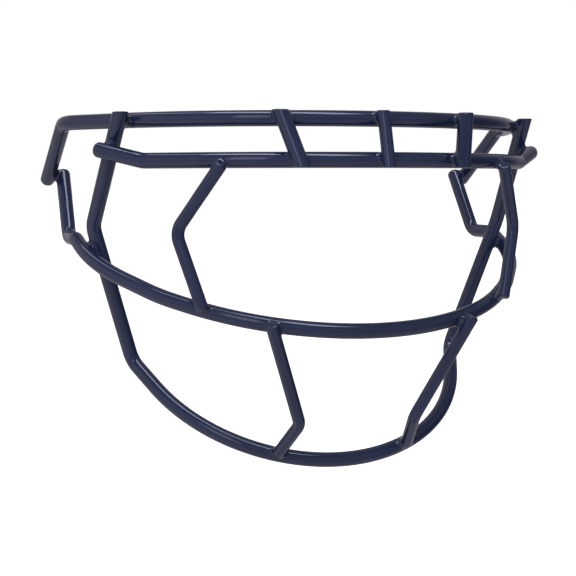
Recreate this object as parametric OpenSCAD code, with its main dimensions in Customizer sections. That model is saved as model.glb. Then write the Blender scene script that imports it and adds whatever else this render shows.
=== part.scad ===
// Wire face guard of an american football helmet.
// Eleven bent steel wires, coated, and welded where they cross. Millimetres, +Z up,
// the front faces -Y, and the left and right halves mirror each other about X = 0.

/* [Wire] */
// Coated diameter of the main bars, the uprights and the outer struts
heavy_d = 6.6; // [6.3:0.1:6.7]
// Coated diameter of the cheek bars, the mouth bars and the centre strut
light_d = 5.4; // [5:0.1:5.5]
// Length of the chamfer on each square-cut wire end
end_chamfer = 0.8; // [0.4:0.1:1.2]

/* [Bends] */
// Centreline radius of a tight bend, on the drop legs, side loops and light bars
tight_r = 8; // [6:0.5:8.5]
// Centreline radius of an open bend, on the second bar's ends and the uprights
open_r = 12; // [9:0.5:13]
// Centreline radius where the brow bar turns from its side runs to the rear
temple_r = 20; // [12:1:20]
// Centreline radius of the two bends along each side of the jaw bar
jaw_side_r = 72; // [68:1:74]

/* [Fronts] */
// Centreline radius of the front of the brow bar
brow_r = 107; // [100:1:108]
// Centreline radius of the front of the second bar
second_r = 114; // [108:1:116]
// Centreline radius of the front of the jaw bar
jaw_r = 103; // [98:1:104]
// Centreline radius of the front of the chin loop
chin_r = 80; // [76:1:81]

/* [Welds] */
// How far a weld bead reaches from the point where two wires meet
weld_r = 3; // [2.8:0.1:3.2]
// Thickness that a bend loses against the straight wire
bend_thin = 0.04; // [0.02:0.01:0.1]

/* [Hidden] */
$round = 64;       // facets round a wire
bead_round = 160;  // facets round a wire where a bead is cut to it
bend_facets = 240; // facets in a full circle of a bend
coat = [0.11, 0.15, 0.28];
weld_coat = [0.1, 0.14, 0.26];
bend_lap = 0.3;  // length by which a bend runs into the straight wire on each side

// The design is drawn from the front middle of the brow bar's centreline.
// This shift puts the middle of the guard's box at the origin.
middle = [0, 60, -74];

// Corner points of the wires on the wearer's right, -X, from the rear end to the front.
// The last point of a front bar is on the middle plane, where its two sides would meet.
// Struts and uprights start past the level where they are trimmed.
brow_corners = [[-111, 133, -26], [-110.5, 94.5, -0.5], [-110.5, 86, 0], [0, -115.5, 0]];
second_corners = [[-105.5, 53, -12], [-89, 37.5, -17], [0, -53, -16.5]];
jaw_corners = [[-104.2, 129, -21], [-105.5, 109.5, -51.5], [-106, 91.5, -51.5],
               [-104, 66.5, -61.5], [-82.5, 36.5, -73.5], [0, -43, -102]];
chin_corners = [[-96, 41.8, 8], [-101.3, 78, -45.5], [-81.5, 88.5, -107.5], [0, -80, -230.5]];
cheek_corners = [[-64.5, 8.5, -18.5], [-79, 24.5, -46], [-70, 17, -77.5]];
mouth_corners = [[-46, 1, -83], [-27, 18, -128], [-31, 34, -143.5]];
strut_ends = [[-42.8, 3.4, 7], [-34.7, -8.4, -24]];
centre_strut_ends = [[0, -4.4, 7], [0, -12.7, -24]];

brow_bends = [tight_r, temple_r, brow_r];
second_bends = [open_r, second_r];
jaw_bends = [tight_r, tight_r, jaw_side_r, jaw_side_r, jaw_r];
chin_bends = [open_r, tight_r, chin_r];

// Levels at which struts and uprights are trimmed: the brow bar's top, the second bar's bottom
trim_top = heavy_d / 2;
trim_low = second_corners[2][2] - heavy_d / 2;
trim_span = 400;  // more than any wire reaches sideways or down

// Where the wires meet, on the -X side: the point, and the way that one wire faces the other
// there, in degrees from -Y towards +X
brow_strut_weld = [[-40, 4.5, 0], -23];
brow_centre_weld = [[0, -3, 0], 0];
second_strut_weld = [[-36, -2, -16], -18];
second_centre_weld = [[0, -7.5, -16], 0];
brow_upright_weld = [[-94.5, 50, -1], -57];
second_upright_weld = [[-100, 52, -11.5], -48];
jaw_upright_weld = [[-101.6, 80.5, -55.3], -97];
cheek_top_weld = [[-63, 11, -18], -32];
cheek_bottom_weld = [[-68.5, 19, -78], -36];
mouth_top_weld = [[-43.5, 4.5, -85.5], -26];
mouth_bottom_weld = [[-29.5, 34.5, -143], -20];
side_loop_weld = [[-107.5, 128, -23], -93];

// ---- points and directions ----
function unit(v) = v / norm(v);
function mirrored(p) = [-p[0], p[1], p[2]];
function last(list) = len(list) - 1;
// A whole bar from its right half, whose last entry is shared by both halves
function both_halves(half) =
    concat(half, [for (i = [last(half) - 1 : -1 : 0]) mirrored(half[i])]);
function both_bends(half) =
    concat(half, [for (i = [last(half) - 1 : -1 : 0]) half[i]]);
// Angle through which a path turns at corner i
function turn(p, i) = acos(unit(p[i] - p[i - 1]) * unit(p[i + 1] - p[i]));
// Distance from corner i back to where its bend begins
function setback(p, bends, i) =
    i == 0 || i == last(p) ? 0 : bends[i - 1] * tan(turn(p, i) / 2);

// Places its children so that their x, y and z axes lie along the given directions at o
module axes_at(o, x, y, z)
    multmatrix([[x[0], y[0], z[0], o[0]],
                [x[1], y[1], z[1], o[1]],
                [x[2], y[2], z[2], o[2]],
                [0, 0, 0, 1]]) children();

// ---- wire ----
// Straight wire along +Z, with a chamfer at either end where it is a cut end
module rod(d, h, cut_low, cut_high) {
    low = cut_low ? end_chamfer : 0;
    high = cut_high ? end_chamfer : 0;
    rotate_extrude($fn = $round)
        polygon([[0, 0], [d / 2 - low, 0], [d / 2, low], [d / 2, h - high], [d / 2 - high, h], [0, h]]);
}

// The straight stretch between corners i and i + 1
module stretch(p, bends, d, i) {
    along = unit(p[i + 1] - p[i]);
    start = p[i] + along * setback(p, bends, i);
    end = p[i + 1] - along * setback(p, bends, i + 1);
    across = unit(cross(along, [0.3, 0.2, 1]));
    axes_at(start, across, cross(along, across), along)
        rod(d, norm(end - start), i == 0, i + 1 == last(p));
}

// The bend at corner i, lapped a little into the stretches on both sides
module bend(p, bends, d, i) {
    r = bends[i - 1];
    in_dir = unit(p[i] - p[i - 1]);
    out_dir = unit(p[i + 1] - p[i]);
    normal = unit(cross(in_dir, out_dir));
    inward = cross(normal, in_dir);
    centre = p[i] - in_dir * setback(p, bends, i) + inward * r;
    lap = bend_lap / r * 180 / PI;
    axes_at(centre, -inward, in_dir, normal)
        rotate([0, 0, -lap])
            rotate_extrude(angle = turn(p, i) + 2 * lap, $fn = bend_facets)
                translate([r, 0]) circle(d = d - bend_thin, $fn = $round);
}

// A wire along corner points p, one bend radius for each inner corner
module wire(p, bends, d) {
    for (i = [0 : last(p) - 1]) stretch(p, bends, d, i);
    for (i = [1 : last(p) - 1]) bend(p, bends, d, i);
}

// What its children have between two levels
module trimmed(low, high)
    intersection() {
        children();
        translate([-trim_span / 2, -trim_span / 2, low]) cube([trim_span, trim_span, high - low]);
    }

module to_origin() translate(-middle) children();
module mirror_left() mirror([1, 0, 0]) children();

// ---- raw shapes of the bars, in the design's own frame ----
module brow_wire() wire(both_halves(brow_corners), both_bends(brow_bends), heavy_d);
module second_wire() wire(both_halves(second_corners), both_bends(second_bends), heavy_d);
module jaw_wire() wire(both_halves(jaw_corners), both_bends(jaw_bends), heavy_d);
module chin_wire()
    trimmed(-trim_span, trim_top) wire(both_halves(chin_corners), both_bends(chin_bends), heavy_d);
module cheek_wire() wire(cheek_corners, [tight_r], light_d);
module mouth_wire() wire(mouth_corners, [tight_r], light_d);
module strut_wire() trimmed(trim_low, trim_top) wire(strut_ends, [], heavy_d);
module centre_strut_wire() trimmed(trim_low, trim_top) wire(centre_strut_ends, [], light_d);

// ---- bars ----
// Top bar over the brow, with a leg that drops at each rear end
module brow_bar() color(coat) to_origin() brow_wire();
// Shorter bar under the brow bar, its rear ends turned up
module second_bar() color(coat) to_origin() second_wire();
// Bar round the jaw, each end turned up into a side loop
module jaw_bar() color(coat) to_origin() jaw_wire();
// Two uprights and the loop under the chin, in one wire
module chin_bar() color(coat) to_origin() chin_wire();
module cheek_bar_right() color(coat) to_origin() cheek_wire();
module cheek_bar_left() color(coat) to_origin() mirror_left() cheek_wire();
module mouth_bar_right() color(coat) to_origin() mouth_wire();
module mouth_bar_left() color(coat) to_origin() mirror_left() mouth_wire();
module strut_right() color(coat) to_origin() strut_wire();
module strut_left() color(coat) to_origin() mirror_left() strut_wire();
module strut_centre() color(coat) to_origin() centre_strut_wire();

// ---- welds ----
// A bead cut back to the two wires that it joins, its poles hidden inside them
module bead(weld) {
    $round = bead_round;
    difference() {
        translate(weld[0]) rotate([90, 0, weld[1]]) sphere(r = weld_r, $fn = $round);
        children();
    }
}

// A bead and its mirror image, each cut by the same wires
module bead_pair(weld) {
    bead(weld) children();
    mirror_left() bead(weld) children();
}

module coated_bead() color(weld_coat) to_origin() children();

// Both outer struts and the centre strut on the brow bar
module brow_strut_welds() coated_bead() {
    bead_pair(brow_strut_weld) { brow_wire(); strut_wire(); }
    bead(brow_centre_weld) { brow_wire(); centre_strut_wire(); }
}

// Both outer struts and the centre strut on the second bar
module second_strut_welds() coated_bead() {
    bead_pair(second_strut_weld) { second_wire(); strut_wire(); }
    bead(second_centre_weld) { second_wire(); centre_strut_wire(); }
}

module brow_upright_welds()
    coated_bead() bead_pair(brow_upright_weld) { brow_wire(); chin_wire(); }
module second_upright_welds()
    coated_bead() bead_pair(second_upright_weld) { second_wire(); chin_wire(); }
module jaw_upright_welds()
    coated_bead() bead_pair(jaw_upright_weld) { jaw_wire(); chin_wire(); }
module cheek_top_welds()
    coated_bead() bead_pair(cheek_top_weld) { second_wire(); cheek_wire(); }
module cheek_bottom_welds()
    coated_bead() bead_pair(cheek_bottom_weld) { jaw_wire(); cheek_wire(); }
module mouth_top_welds()
    coated_bead() bead_pair(mouth_top_weld) { jaw_wire(); mouth_wire(); }
module mouth_bottom_welds()
    coated_bead() bead_pair(mouth_bottom_weld) { chin_wire(); mouth_wire(); }
// Each drop leg of the brow bar on the top of a side loop
module side_loop_welds()
    coated_bead() bead_pair(side_loop_weld) { brow_wire(); jaw_wire(); }

brow_bar();
second_bar();
jaw_bar();
chin_bar();
cheek_bar_left();
cheek_bar_right();
mouth_bar_left();
mouth_bar_right();
strut_left();
strut_centre();
strut_right();
brow_strut_welds();
second_strut_welds();
brow_upright_welds();
second_upright_welds();
jaw_upright_welds();
cheek_top_welds();
cheek_bottom_welds();
mouth_top_welds();
mouth_bottom_welds();
side_loop_welds();
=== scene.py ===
"""Looks of a wire face guard: eleven bent and coated wires, and the fillets of their welds.

Sizes are in millimetres in the design's own frame, as in part.scad, until a mesh is written.
That frame starts at the front middle of the brow bar's centreline. MIDDLE is the row frame's
origin in it.
"""

import math

import bmesh
import bpy
import numpy as np
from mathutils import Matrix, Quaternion, Vector


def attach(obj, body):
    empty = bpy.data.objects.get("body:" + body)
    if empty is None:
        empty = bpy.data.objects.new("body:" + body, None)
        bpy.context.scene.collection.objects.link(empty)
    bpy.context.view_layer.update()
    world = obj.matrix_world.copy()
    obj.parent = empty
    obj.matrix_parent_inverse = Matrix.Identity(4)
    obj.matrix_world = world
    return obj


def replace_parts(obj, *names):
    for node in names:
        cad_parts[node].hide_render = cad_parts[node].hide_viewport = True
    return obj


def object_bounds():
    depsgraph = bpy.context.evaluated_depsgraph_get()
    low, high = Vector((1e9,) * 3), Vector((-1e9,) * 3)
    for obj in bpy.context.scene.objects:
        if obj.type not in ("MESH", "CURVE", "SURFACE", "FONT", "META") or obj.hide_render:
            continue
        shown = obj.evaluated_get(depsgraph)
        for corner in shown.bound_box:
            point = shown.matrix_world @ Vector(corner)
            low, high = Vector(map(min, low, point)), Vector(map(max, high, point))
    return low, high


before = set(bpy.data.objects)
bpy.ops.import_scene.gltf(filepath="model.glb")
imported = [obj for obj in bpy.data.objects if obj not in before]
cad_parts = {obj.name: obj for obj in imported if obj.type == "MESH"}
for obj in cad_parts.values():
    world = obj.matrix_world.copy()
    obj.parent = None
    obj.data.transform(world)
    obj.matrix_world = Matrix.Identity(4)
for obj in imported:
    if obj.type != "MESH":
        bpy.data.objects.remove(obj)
cad_low, cad_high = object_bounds()

# ---- driving values, as in part.scad ----
MM = 0.001
MIDDLE = np.array([0, 60, -74])
HEAVY_R = 3.28       # coated radius of the main bars; a bend in the CAD is this thin too
LIGHT_R = 2.68       # coated radius of the cheek bars, the mouth bars and the centre strut
TIGHT, OPEN, TEMPLE, JAW_SIDE = 8, 12, 20, 72
BROW_FRONT, SECOND_FRONT, JAW_FRONT, CHIN_FRONT = 107, 114, 103, 80

# Corner points on the wearer's right, -X, and the bend radius at each inner one.
# The last corner of a front bar is on the middle plane, shared by both halves.
BROW = ([[-111, 133, -26], [-110.5, 94.5, -0.5], [-110.5, 86, 0], [0, -115.5, 0]],
        [TIGHT, TEMPLE, BROW_FRONT])
SECOND = ([[-105.5, 53, -12], [-89, 37.5, -17], [0, -53, -16.5]], [OPEN, SECOND_FRONT])
JAW = ([[-104.2, 129, -21], [-105.5, 109.5, -51.5], [-106, 91.5, -51.5],
        [-104, 66.5, -61.5], [-82.5, 36.5, -73.5], [0, -43, -102]],
       [TIGHT, TIGHT, JAW_SIDE, JAW_SIDE, JAW_FRONT])
CHIN = ([[-96, 41.8, 8], [-101.3, 78, -45.5], [-81.5, 88.5, -107.5], [0, -80, -230.5]],
        [OPEN, TIGHT, CHIN_FRONT])
CHEEK = ([[-64.5, 8.5, -18.5], [-79, 24.5, -46], [-70, 17, -77.5]], [TIGHT])
MOUTH = ([[-46, 1, -83], [-27, 18, -128], [-31, 34, -143.5]], [TIGHT])
STRUT = ([[-42.8, 3.4, 7], [-34.7, -8.4, -24]], [])
CENTRE_STRUT = ([[0, -4.4, 7], [0, -12.7, -24]], [])
TRIM_TOP, TRIM_LOW = 3.3, -19.8   # levels at which struts and uprights are trimmed

# Rounding of the cut wire ends
LEG_END = 2.0        # drop legs, side loops and second bar, whose ends show
SQUARE_END = 1.0     # square ends that lie on another bar
TRIM_END = 0.5       # ends trimmed level

# Weld node: for each of its welds, the point on the wearer's right and the two wires
WELDS = {
    "brow_strut_welds": [([-40, 4.5, 0], "brow_bar", "strut_right"),
                         ([0, -3, 0], "brow_bar", "strut_centre")],
    "second_strut_welds": [([-36, -2, -16], "second_bar", "strut_right"),
                           ([0, -7.5, -16], "second_bar", "strut_centre")],
    "brow_upright_welds": [([-94.5, 50, -1], "brow_bar", "chin_bar")],
    "second_upright_welds": [([-100, 52, -11.5], "second_bar", "chin_bar")],
    "jaw_upright_welds": [([-101.6, 80.5, -55.3], "jaw_bar", "chin_bar")],
    "cheek_top_welds": [([-63, 11, -18], "second_bar", "cheek_bar_right")],
    "cheek_bottom_welds": [([-68.5, 19, -78], "jaw_bar", "cheek_bar_right")],
    "mouth_top_welds": [([-43.5, 4.5, -85.5], "jaw_bar", "mouth_bar_right")],
    "mouth_bottom_welds": [([-29.5, 34.5, -143], "chin_bar", "mouth_bar_right")],
    "side_loop_welds": [([-107.5, 128, -23], "brow_bar", "jaw_bar")],
}
FILLET_BLEND = 3.4   # mm over which a fillet runs out on each wire
FILLET_SINK = 0.9    # mm that it reaches inside each wire
FILLET_SHY = 0.10    # mm that it is lowered, so that its rim meets the wires at an angle
FILLET_EDGE = 3.0    # mm of difference between the two distances at which it ends, under the coat
NEAR_WIRE = 16.0     # mm from a weld within which a wire shapes its fillet
NEAR_END = 12.0      # mm from a weld within which a cut end does

# ---- mesh density ----
AROUND = 56          # faces round a wire
ARC_STEP = math.radians(2.5)
STRAIGHT_STEP = 5.0  # mm between rings on straight wire
END_RINGS = 6        # rings on the rounded edge of an end
FLAT_RINGS = (0.66, 0.33)   # rings on its flat middle, as shares of the flat's radius
LEVEL_CLEAR = 1.2    # radii from a level cut at which whole rings start, because it is aslant
FILLET_SPHERE = 4    # subdivisions of the icosphere that a fillet starts as
FILLET_SPLITS = 2    # times that it is refined where it shows
FILLET_SHOWN = 0.25  # mm inside a wire down to which it counts as showing
MARCH_START = 0.1    # mm from its middle where the march outward to its surface starts
MARCH_STEPS = 36     # steps of the march, which meets the surface near a rim at a shallow angle
SETTLE_STEPS, SETTLE_SHARE = 12, 0.5   # steps to a touching point, and the share of each taken
PROBE = 1e-3         # mm over which a slope is measured

# ---- coating texture: noise scales in waves per metre, bump depths in metres ----
CLOUD_SCALE, CLOUD_LIGHTER = 26, 1.22
RUB_SCALE, RUB_SHARE = 210, 0.35
SHEEN_SCALE, SHEEN_RANGE = 90, (0.85, 1.2)
PEEL_SCALE, PEEL_DEPTH = 430, 0.00012
GRAIN_SCALE, GRAIN_DEPTH, GRAIN_STRENGTH = 5200, 0.00002, 0.12

# ---- studio ----
TARGET = Vector((-39.3, -60, 5.8)) * MM
CAMERA_AZIMUTH, CAMERA_ELEVATION = -21.0, 5.0
CAMERA_DISTANCE = 522.6 * MM
SENSOR, LENS = 36, 81.1               # mm
FLOOR_SIDE, FLOOR_DROP = 12.0, 0.10   # metres: half a side, and down from the lowest point
COOL, WARM, WHITE = (0.77, 0.80, 1.0), (0.92, 0.85, 1.0), (1, 1, 1)
SURROUND_STRENGTH, SOFT_STRENGTH = 2.15, 0.30
SOFT_COLOUR = (0.97, 0.98, 1.0)

# What the gloss reflects: a colour by the direction's height, times a grey by its X, -1 to 1
BY_HEIGHT = [(-1.0, (0.48, 0.45, 0.52)), (-0.60, (0.48, 0.45, 0.52)), (-0.35, (0.38, 0.34, 0.38)),
             (-0.10, (0.26, 0.24, 0.27)), (0.05, (0.36, 0.33, 0.38)), (0.55, (0.34, 0.31, 0.37)),
             (0.72, (0.20, 0.18, 0.21)), (1.0, (0.35, 0.34, 0.40))]
BY_SIDE = [(-1.0, (0.84, 0.84, 0.84)), (-0.80, (0.70, 0.70, 0.70)), (-0.40, (0.50, 0.50, 0.50)),
           (0.60, (0.46, 0.46, 0.46)), (0.80, (0.36, 0.36, 0.37)), (0.96, (0.11, 0.11, 0.13)),
           (1.0, (0.10, 0.10, 0.12))]


# ---- wire paths ----
def unit(v):
    return v / np.linalg.norm(v)


def mirrored(points):
    return np.asarray(points, float) * [-1, 1, 1]


def whole(half):
    """A bar's corners and bends on both sides, from those of its right half."""
    corners, bends = half
    return corners + [[-x, y, z] for x, y, z in corners[-2::-1]], bends + bends[-2::-1]


def centreline(corners, bends):
    """Points along a wire: straight stretches, and a circular arc at each inner corner."""
    p = [np.array(c, float) for c in corners]
    line = [p[0]]

    def straight_to(end):
        start = line[-1]
        steps = max(1, math.ceil(np.linalg.norm(end - start) / STRAIGHT_STEP))
        line.extend(start + (end - start) * k / steps for k in range(1, steps + 1))

    for i, radius in enumerate(bends, 1):
        into, out = unit(p[i] - p[i - 1]), unit(p[i + 1] - p[i])
        angle = math.acos(np.clip(into @ out, -1, 1))
        setback = radius * math.tan(angle / 2)
        inward = unit(out - into * (into @ out))
        straight_to(p[i] - into * setback)
        centre = line[-1] + inward * radius
        steps = max(3, math.ceil(angle / ARC_STEP))
        for k in range(1, steps + 1):
            a = angle * k / steps
            line.append(centre + radius * (into * math.sin(a) - inward * math.cos(a)))
    straight_to(p[-1])
    return np.array(line)


def tangents(line):
    """Unit direction at each point of a line: its two chords' mean, or at an end its one chord."""
    chord = line[1:] - line[:-1]
    chord /= np.linalg.norm(chord, axis=1)[:, None]
    mean = np.vstack([chord[:1], chord[1:] + chord[:-1], chord[-1:]])
    return mean / np.linalg.norm(mean, axis=1)[:, None]


def cross_axes(direction):
    """A side axis at each point, turned as little as possible from one point to the next."""
    side = unit(np.cross(direction[0], [0.3, 0.2, 1.0]))
    sides = [side]
    for along in direction[1:]:
        side = unit(side - along * (side @ along))
        sides.append(side)
    return np.array(sides)


# ---- cut ends, each as (point on the cut, outward direction, rounding) ----
def square_end(line, first, rounding):
    """A cut square to the wire, at its first or last point."""
    tip, inner = (line[0], line[1]) if first else (line[-1], line[-2])
    return tip, unit(tip - inner), rounding


def level_end(level):
    """A cut at one height, facing up at the top and down at the bottom."""
    return np.array([0, 0, level]), np.array([0, 0, 1.0 if level > 0 else -1.0]), TRIM_END


def is_level(end):
    return abs(end[1][2]) > 0.999


def flip_end(end):
    point, normal, rounding = end
    return mirrored(point), mirrored(normal), rounding


def end_profile(radius, rounding):
    """(distance inside the cut, ring radius) from the wire's side to near the middle of its end."""
    profile = []
    for k in range(END_RINGS + 1):
        a = math.pi / 2 * k / END_RINGS
        profile.append((rounding * (1 - math.sin(a)), radius - rounding * (1 - math.cos(a))))
    return profile + [(0, (radius - rounding) * share) for share in FLAT_RINGS]


# ---- meshes ----
def mesh_piece(name, verts, faces, material, slot):
    """A smooth-shaded piece on the root body, from points in the design's frame."""
    data = bpy.data.meshes.new(name)
    data.from_pydata(((verts - MIDDLE) * MM).tolist(), [], faces)
    data.polygons.foreach_set("use_smooth", [True] * len(data.polygons))
    data.materials.append(material)
    data.update()
    piece = bpy.data.objects.new(name, data)
    bpy.context.scene.collection.objects.link(piece)
    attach(piece, "root")
    return piece


def joined(parts):
    """Several closed shells as one list of vertices and faces."""
    verts, faces = [], []
    for v, f in parts:
        base = sum(len(x) for x in verts)
        verts.append(v)
        faces += [tuple(i + base for i in face) for face in f]
    return np.vstack(verts), faces


def sweep(line, radius, ends):
    """Vertices and faces of a closed round wire along a centreline, with rounded cut ends."""
    along = tangents(line)
    side = cross_axes(along)
    up = np.cross(along, side)
    turn = np.arange(AROUND) * 2 * math.pi / AROUND
    cos, sin = np.cos(turn)[:, None], np.sin(turn)[:, None]

    def ring(at, ring_radius):
        return line[at] + ring_radius * (cos * side[at] + sin * up[at])

    def cut_rings(at, point, normal, rounding):
        """Rings over a cut end, each slid along the wire onto a plane just inside the cut."""
        rings = []
        for inside, ring_radius in end_profile(radius, rounding):
            circle = ring(at, ring_radius)
            slide = ((point - normal * inside - circle) @ normal) / (along[at] @ normal)
            rings.append(circle + along[at] * slide[:, None])
        return rings

    def is_clear(at):
        """Whether a whole ring fits there, inside both cuts."""
        return all((line[at] - tip) @ normal < -room for (tip, normal, _), room in zip(ends, rooms))

    rooms = [radius * LEVEL_CLEAR if is_level(end) else end[2] for end in ends]
    rings = cut_rings(0, *ends[0])[::-1]
    rings += [ring(at, radius) for at in range(len(line)) if is_clear(at)]
    rings += cut_rings(-1, *ends[1])
    verts = np.vstack(rings + [rings[0].mean(axis=0)[None], rings[-1].mean(axis=0)[None]])

    pairs = [(j, (j + 1) % AROUND) for j in range(AROUND)]
    last, low_middle, high_middle = (len(rings) - 1) * AROUND, len(verts) - 2, len(verts) - 1
    faces = [(a + j, a + n, a + AROUND + n, a + AROUND + j)
             for a in range(0, last, AROUND) for j, n in pairs]
    for j, n in pairs:
        faces.append((low_middle, n, j))
        faces.append((high_middle, last + j, last + n))
    return verts, faces


# ---- weld fillets ----
def cut_off(out, past, rounding):
    """Signed distance to what a plane leaves of a solid, with a rounded edge at the cut."""
    a, b = out + rounding, past + rounding
    return np.minimum(np.maximum(a, b), 0) + np.hypot(np.maximum(a, 0), np.maximum(b, 0)) - rounding


def wire_distance(points, line, radius, ends):
    """Signed distance from points to a wire's surface, its rounded cut ends included."""
    start, step = line[:-1], line[1:] - line[:-1]
    length = np.linalg.norm(step, axis=1)
    along = step / length[:, None]
    reach = np.einsum("pij,ij->pi", points[:, None, :] - start[None], along)
    low, high = np.zeros(len(start)), length.copy()
    low[0], high[-1] = -np.inf, np.inf           # the end stretches run on, and are cut below
    foot = start[None] + np.clip(reach, low, high)[..., None] * along[None]
    out = np.linalg.norm(points[:, None, :] - foot, axis=2).min(axis=1) - radius
    for point, normal, rounding in ends:
        out = cut_off(out, (points - point) @ normal, rounding)
    return out


def near_part(line, point):
    """The stretch of a centreline near a point, so that distances to it are quick."""
    mean = (line[1:] + line[:-1]) / 2
    half = np.linalg.norm(line[1:] - line[:-1], axis=1) / 2
    keep = np.linalg.norm(mean - point, axis=1) - half < NEAR_WIRE
    first, last = np.flatnonzero(keep)[[0, -1]]
    return line[first:last + 2]


def end_is_near(end, point):
    """Whether a cut lies close enough to a weld to shape it."""
    at, normal, _ = end
    close = abs((point - at) @ normal) < NEAR_END
    return close and (is_level(end) or np.linalg.norm(point - at) < NEAR_END)


def touching_point(distances, start):
    """Where two surfaces touch, found by stepping from a point nearby towards each in turn."""
    point = start
    for _ in range(SETTLE_STEPS):
        for k in range(2):
            here = distances(point[None])[k][0]
            slope = (distances(point + PROBE * np.eye(3))[k] - here) / PROBE
            point = point - SETTLE_SHARE * here * slope
    return point


def star_shell(field, middle):
    """A closed surface where a field is zero, star-shaped about a middle, refined where it shows.

    field gives a distance-like value at points, and the distance to the nearer wire.
    """
    bm = bmesh.new()
    bmesh.ops.create_icosphere(bm, subdivisions=FILLET_SPHERE, radius=1)
    for split in range(FILLET_SPLITS + 1):
        for vert in bm.verts:
            vert.co.normalize()
        bm.verts.index_update()
        directions = np.array([vert.co for vert in bm.verts])
        reach = np.full(len(directions), MARCH_START)
        for _ in range(MARCH_STEPS):
            value, wire = field(middle + directions * reach[:, None])
            reach -= value
        if split < FILLET_SPLITS:
            shown = wire > -FILLET_SHOWN
            edges = [edge for edge in bm.edges if any(shown[vert.index] for vert in edge.verts)]
            bmesh.ops.subdivide_edges(bm, edges=edges, cuts=1, use_grid_fill=True)
            bmesh.ops.triangulate(bm, faces=bm.faces)
    faces = [tuple(vert.index for vert in face.verts) for face in bm.faces]
    bm.free()
    return middle + directions * reach[:, None], faces


def fillet(point, wires):
    """Vertices and faces of the closed blend round the place where two wires meet."""
    near = [(near_part(line, point), radius, [end for end in ends if end_is_near(end, point)])
            for line, radius, ends in wires]
    levels = [end for _, _, ends in near for end in ends if is_level(end)]

    def distances(points):
        return [wire_distance(points, *wire) for wire in near]

    def field(points):
        """Negative inside the fillet: a smooth union, only near both wires and near their skin."""
        low, high = np.sort(distances(points), axis=0)
        blend = np.clip(FILLET_BLEND - (high - low), 0, None) / FILLET_BLEND
        smooth = low - blend ** 2 * FILLET_BLEND / 4 + FILLET_SHY
        for at, normal, rounding in levels:      # trimmed with its wire
            smooth = cut_off(smooth, (points - at) @ normal + FILLET_SHY, rounding)
        return np.maximum.reduce([smooth, -low - FILLET_SINK, (high - low - FILLET_EDGE) / 2]), low

    return star_shell(field, touching_point(distances, point))


# ---- materials ----
def node(tree, kind, inputs, **settings):
    """A new shader node. Each of its inputs is linked to a socket, or set to a value."""
    new = tree.nodes.new("ShaderNode" + kind)
    for name, value in settings.items():
        setattr(new, name, value)
    for name, value in inputs.items():
        if isinstance(value, bpy.types.NodeSocket):
            tree.links.new(value, new.inputs[name])
        else:
            new.inputs[name].default_value = value
    return new


def ramp(tree, source, stops):
    """A colour for each value of a source from 0 to 1, from (value, colour) stops."""
    new = node(tree, "ValToRGB", {"Fac": source})
    elements = new.color_ramp.elements
    elements[0].position, elements[0].color = stops[0][0], (*stops[0][1], 1)
    elements[1].position, elements[1].color = stops[-1][0], (*stops[-1][1], 1)
    for position, colour in stops[1:-1]:
        elements.new(position).color = (*colour, 1)
    return new.outputs["Color"]


def colour_mix(tree, share, first, second, blend="MIX"):
    sockets = {"Factor": share, 6: first, 7: second}     # 6 and 7 are the two colours
    return node(tree, "Mix", sockets, data_type="RGBA", blend_type=blend).outputs[2]


def new_material(name):
    material = bpy.data.materials.new(name)
    material.use_nodes = True
    return material, material.node_tree, material.node_tree.nodes["Principled BSDF"]


def coat_material(name, deep, worn, roughness, peel):
    """Glossy baked navy coating: two blues, orange peel, fine grain and faint rubbing."""
    material, tree, shader = new_material(name)
    place = node(tree, "TexCoord", {}).outputs["Object"]

    def noise(scale, detail, rough=0.5):
        sockets = {"Scale": scale, "Detail": detail, "Roughness": rough, "Vector": place}
        return node(tree, "TexNoise", sockets).outputs["Fac"]

    def bump(strength, depth, height, under=None):
        sockets = {"Strength": strength, "Distance": depth, "Height": height}
        if under:
            sockets["Normal"] = under
        return node(tree, "Bump", sockets).outputs["Normal"]

    lighter = [c * CLOUD_LIGHTER for c in deep]
    cloud = ramp(tree, noise(CLOUD_SCALE, 3), [(0.36, deep), (0.64, lighter)])
    rub = ramp(tree, noise(RUB_SCALE, 4, 0.62), [(0.63, (0, 0, 0)), (0.80, (RUB_SHARE,) * 3)])
    tree.links.new(colour_mix(tree, rub, cloud, (*worn, 1)), shader.inputs["Base Color"])

    least, most = [roughness * share for share in SHEEN_RANGE]
    sheen = {"To Min": least, "To Max": most, "Value": noise(SHEEN_SCALE, 3)}
    rough = node(tree, "MapRange", sheen).outputs["Result"]
    tree.links.new(rough, shader.inputs["Roughness"])

    grain = bump(GRAIN_STRENGTH, GRAIN_DEPTH, noise(GRAIN_SCALE, 2))
    skin = bump(peel, PEEL_DEPTH, noise(PEEL_SCALE, 1.5), grain)
    tree.links.new(skin, shader.inputs["Normal"])

    shader.inputs["IOR"].default_value = 1.5
    shader.inputs["Coat Weight"].default_value = 0.25
    shader.inputs["Coat Roughness"].default_value = 0.07
    return material


def floor_material():
    """Matt, pale and evenly lit."""
    material, _, shader = new_material("pale_floor")
    shader.inputs["Base Color"].default_value = (0.93, 0.93, 0.93, 1)
    shader.inputs["Roughness"].default_value = 0.9
    shader.inputs["Specular IOR Level"].default_value = 0.0
    shader.inputs["Emission Color"].default_value = (1, 1, 1, 1)
    shader.inputs["Emission Strength"].default_value = 1.0
    return material


# ---- studio ----
def toward(azimuth, elevation):
    """Direction from the object: azimuth 0 is the front, -Y, and 90 is +X."""
    a, e = math.radians(azimuth), math.radians(elevation)
    return Vector((math.sin(a) * math.cos(e), -math.cos(a) * math.cos(e), math.sin(e)))


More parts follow.
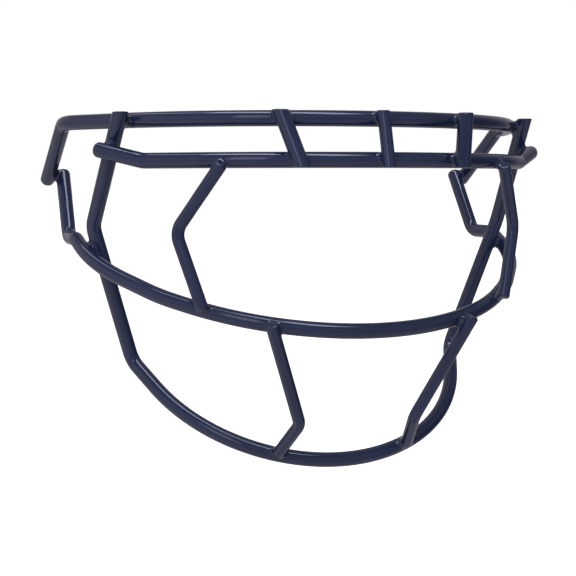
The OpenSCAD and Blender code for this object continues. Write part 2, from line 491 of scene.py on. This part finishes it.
def add_camera():
    data = bpy.data.cameras.new("camera")
    data.sensor_width, data.lens = SENSOR, LENS
    data.clip_start, data.clip_end = 0.02, 50
    camera = bpy.data.objects.new("camera", data)
    back = toward(CAMERA_AZIMUTH, CAMERA_ELEVATION)
    camera.location = TARGET + back * CAMERA_DISTANCE
    camera.rotation_euler = (-back).to_track_quat("-Z", "Y").to_euler()
    bpy.context.scene.collection.objects.link(camera)
    bpy.context.scene.camera = camera


def add_softbox(name, azimuth, elevation, distance, size, radiance, colour, roll=0, reflected=True):
    """An area light that faces the object. It only shows in gloss, or only lights the paint.

    distance and size are in metres, and roll turns it about its own axis, in degrees.
    """
    data = bpy.data.lights.new(name, "AREA")
    data.shape = "RECTANGLE"
    data.size, data.size_y = size
    data.energy = radiance * math.pi * size[0] * size[1]
    data.color = colour
    light = bpy.data.objects.new(name, data)
    back = toward(azimuth, elevation)
    light.location = back * distance
    turned = back.to_track_quat("Z", "Y") @ Quaternion((0, 0, 1), math.radians(roll))
    light.rotation_euler = turned.to_euler()
    light.visible_camera = False
    light.visible_diffuse = not reflected
    light.visible_glossy = reflected
    bpy.context.scene.collection.objects.link(light)


def add_world():
    """White behind the object. Its gloss sees a dim studio, paler below, brighter on the left."""
    world = bpy.data.worlds.new("studio")
    bpy.context.scene.world = world
    world.use_nodes = True
    tree = world.node_tree
    tree.nodes.clear()
    place = node(tree, "TexCoord", {}).outputs["Generated"]
    direction = node(tree, "SeparateXYZ", {"Vector": place}).outputs

    def graded(source, stops):
        """A colour for each value of a direction's X or Z, from -1 to 1."""
        spread = node(tree, "MapRange", {"From Min": -1, "Value": source}).outputs["Result"]
        return ramp(tree, spread, [((at + 1) / 2, colour) for at, colour in stops])

    def backdrop(colour, strength):
        sockets = {"Color": colour, "Strength": strength}
        return node(tree, "Background", sockets).outputs["Background"]

    def chosen(share, first, second):
        return node(tree, "MixShader", {"Fac": share, 1: first, 2: second}).outputs["Shader"]

    height, side = graded(direction["Z"], BY_HEIGHT), graded(direction["X"], BY_SIDE)
    surround = backdrop(colour_mix(tree, 1, height, side, "MULTIPLY"), SURROUND_STRENGTH)
    soft = backdrop((*SOFT_COLOUR, 1), SOFT_STRENGTH)
    white = backdrop((*WHITE, 1), 1.0)
    ray = node(tree, "LightPath", {}).outputs
    unseen = chosen(ray["Is Glossy Ray"], soft, surround)
    node(tree, "OutputWorld", {"Surface": chosen(ray["Is Camera Ray"], unseen, white)})


def add_floor():
    """A plane under the guard, which only the camera sees."""
    z = cad_low.z - FLOOR_DROP
    corners = [(x * FLOOR_SIDE, y * FLOOR_SIDE, z) for x, y in ((-1, -1), (1, -1), (1, 1), (-1, 1))]
    data = bpy.data.meshes.new("floor")
    data.from_pydata(corners, [], [(0, 1, 2, 3)])
    data.materials.append(floor_material())
    floor = bpy.data.objects.new("floor", data)
    bpy.context.scene.collection.objects.link(floor)
    floor.visible_glossy = False
    floor.visible_diffuse = False
    floor.visible_shadow = False


def add_studio():
    add_world()
    add_floor()
    add_softbox("overhead", -14, 79, 1.1, (1.0, 0.34), 6.0, COOL, roll=-39)
    add_softbox("overhead_left", -136, 59, 1.3, (0.60, 0.24), 2.1, COOL, roll=56)
    add_softbox("left_panel", -37, 24, 1.3, (0.36, 0.72), 1.2, WARM)
    add_softbox("key", -30, 25, 1.5, (1.2, 1.0), 3.7, WHITE, reflected=False)
    bpy.context.scene.view_settings.view_transform = "Standard"


# ---- the guard ----
def make_bars(coat):
    """Each wire as its own piece. Returns (centreline, radius, ends) of each, for the welds."""
    bars = {}

    def add(name):
        verts, faces = sweep(*bars[name])
        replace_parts(mesh_piece(name + "_wire", verts, faces, coat, "coat"), name)

    def bar(name, path, radius, low=SQUARE_END, high=SQUARE_END):
        """low and high are each a square end's rounding, or an end made by level_end."""
        line = centreline(*path)
        ends = [end if isinstance(end, tuple) else square_end(line, first, end)
                for end, first in ((low, True), (high, False))]
        bars[name] = line, radius, ends
        add(name)

    def left_twin(stem):
        line, radius, ends = bars[stem + "_right"]
        bars[stem + "_left"] = mirrored(line), radius, [flip_end(end) for end in ends]
        add(stem + "_left")

    top, bottom = level_end(TRIM_TOP), level_end(TRIM_LOW)
    bar("brow_bar", whole(BROW), HEAVY_R, LEG_END, LEG_END)
    bar("second_bar", whole(SECOND), HEAVY_R, LEG_END, LEG_END)
    bar("jaw_bar", whole(JAW), HEAVY_R, LEG_END, LEG_END)
    bar("chin_bar", whole(CHIN), HEAVY_R, top, top)
    bar("strut_centre", CENTRE_STRUT, LIGHT_R, top, bottom)
    bar("strut_right", STRUT, HEAVY_R, top, bottom)
    bar("cheek_bar_right", CHEEK, LIGHT_R)
    bar("mouth_bar_right", MOUTH, LIGHT_R)
    for stem in ("strut", "cheek_bar", "mouth_bar"):
        left_twin(stem)
    return bars


def make_welds(bars, coat):
    """One piece for each weld node: its fillets on the right, in the middle and on the left."""
    for weld_node, welds in WELDS.items():
        shells = []
        for point, one, other in welds:
            verts, faces = fillet(np.array(point, float), [bars[one], bars[other]])
            shells.append((verts, faces))
            if point[0] != 0:
                shells.append((mirrored(verts), [face[::-1] for face in faces]))
        name = weld_node.replace("welds", "fillets")
        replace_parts(mesh_piece(name, *joined(shells), coat, "weld_coat"), weld_node)


navy = coat_material("navy_coat", (0.011, 0.020, 0.060), (0.05, 0.06, 0.11), 0.10, 0.05)
# The fillets get a slightly darker navy than the wires: painted shade for the crease where two
# wires meet.
shaded_weld = coat_material("shaded_weld_coat", (0.010, 0.018, 0.054), (0.05, 0.06, 0.10), 0.10, 0.06)
add_camera()
add_studio()
make_welds(make_bars(navy), shaded_weld)
